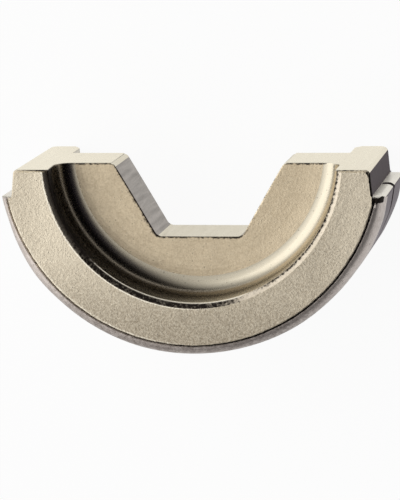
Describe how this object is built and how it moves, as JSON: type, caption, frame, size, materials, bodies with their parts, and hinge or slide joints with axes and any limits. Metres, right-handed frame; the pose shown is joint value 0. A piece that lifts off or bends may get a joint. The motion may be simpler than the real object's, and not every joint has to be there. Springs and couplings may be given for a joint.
{
  "type": "hexagonal crimping die half",
  "caption": "Half of a hexagonal crimping die: round back with side flats and ledges, a turned pocket in each face, and a web with half of the crimping hexagon.",
  "frame": {"origin": "on the centre line of the closed hexagon, in the parting plane, level with the rear rim face that the die lies on", "axes": "+X along the parting face, +Y out of the parting face towards the other half, +Z along the cable from the rear rim to the front rim"},
  "size_m": [0.0448, 0.0217, 0.022],
  "materials": {
    "plated_steel": "warm nickel-like plating over cast and machined steel, satin"
  },
  "bodies": {
    "root": {"die_half": "plated_steel"}
  },
  "joints": []
}
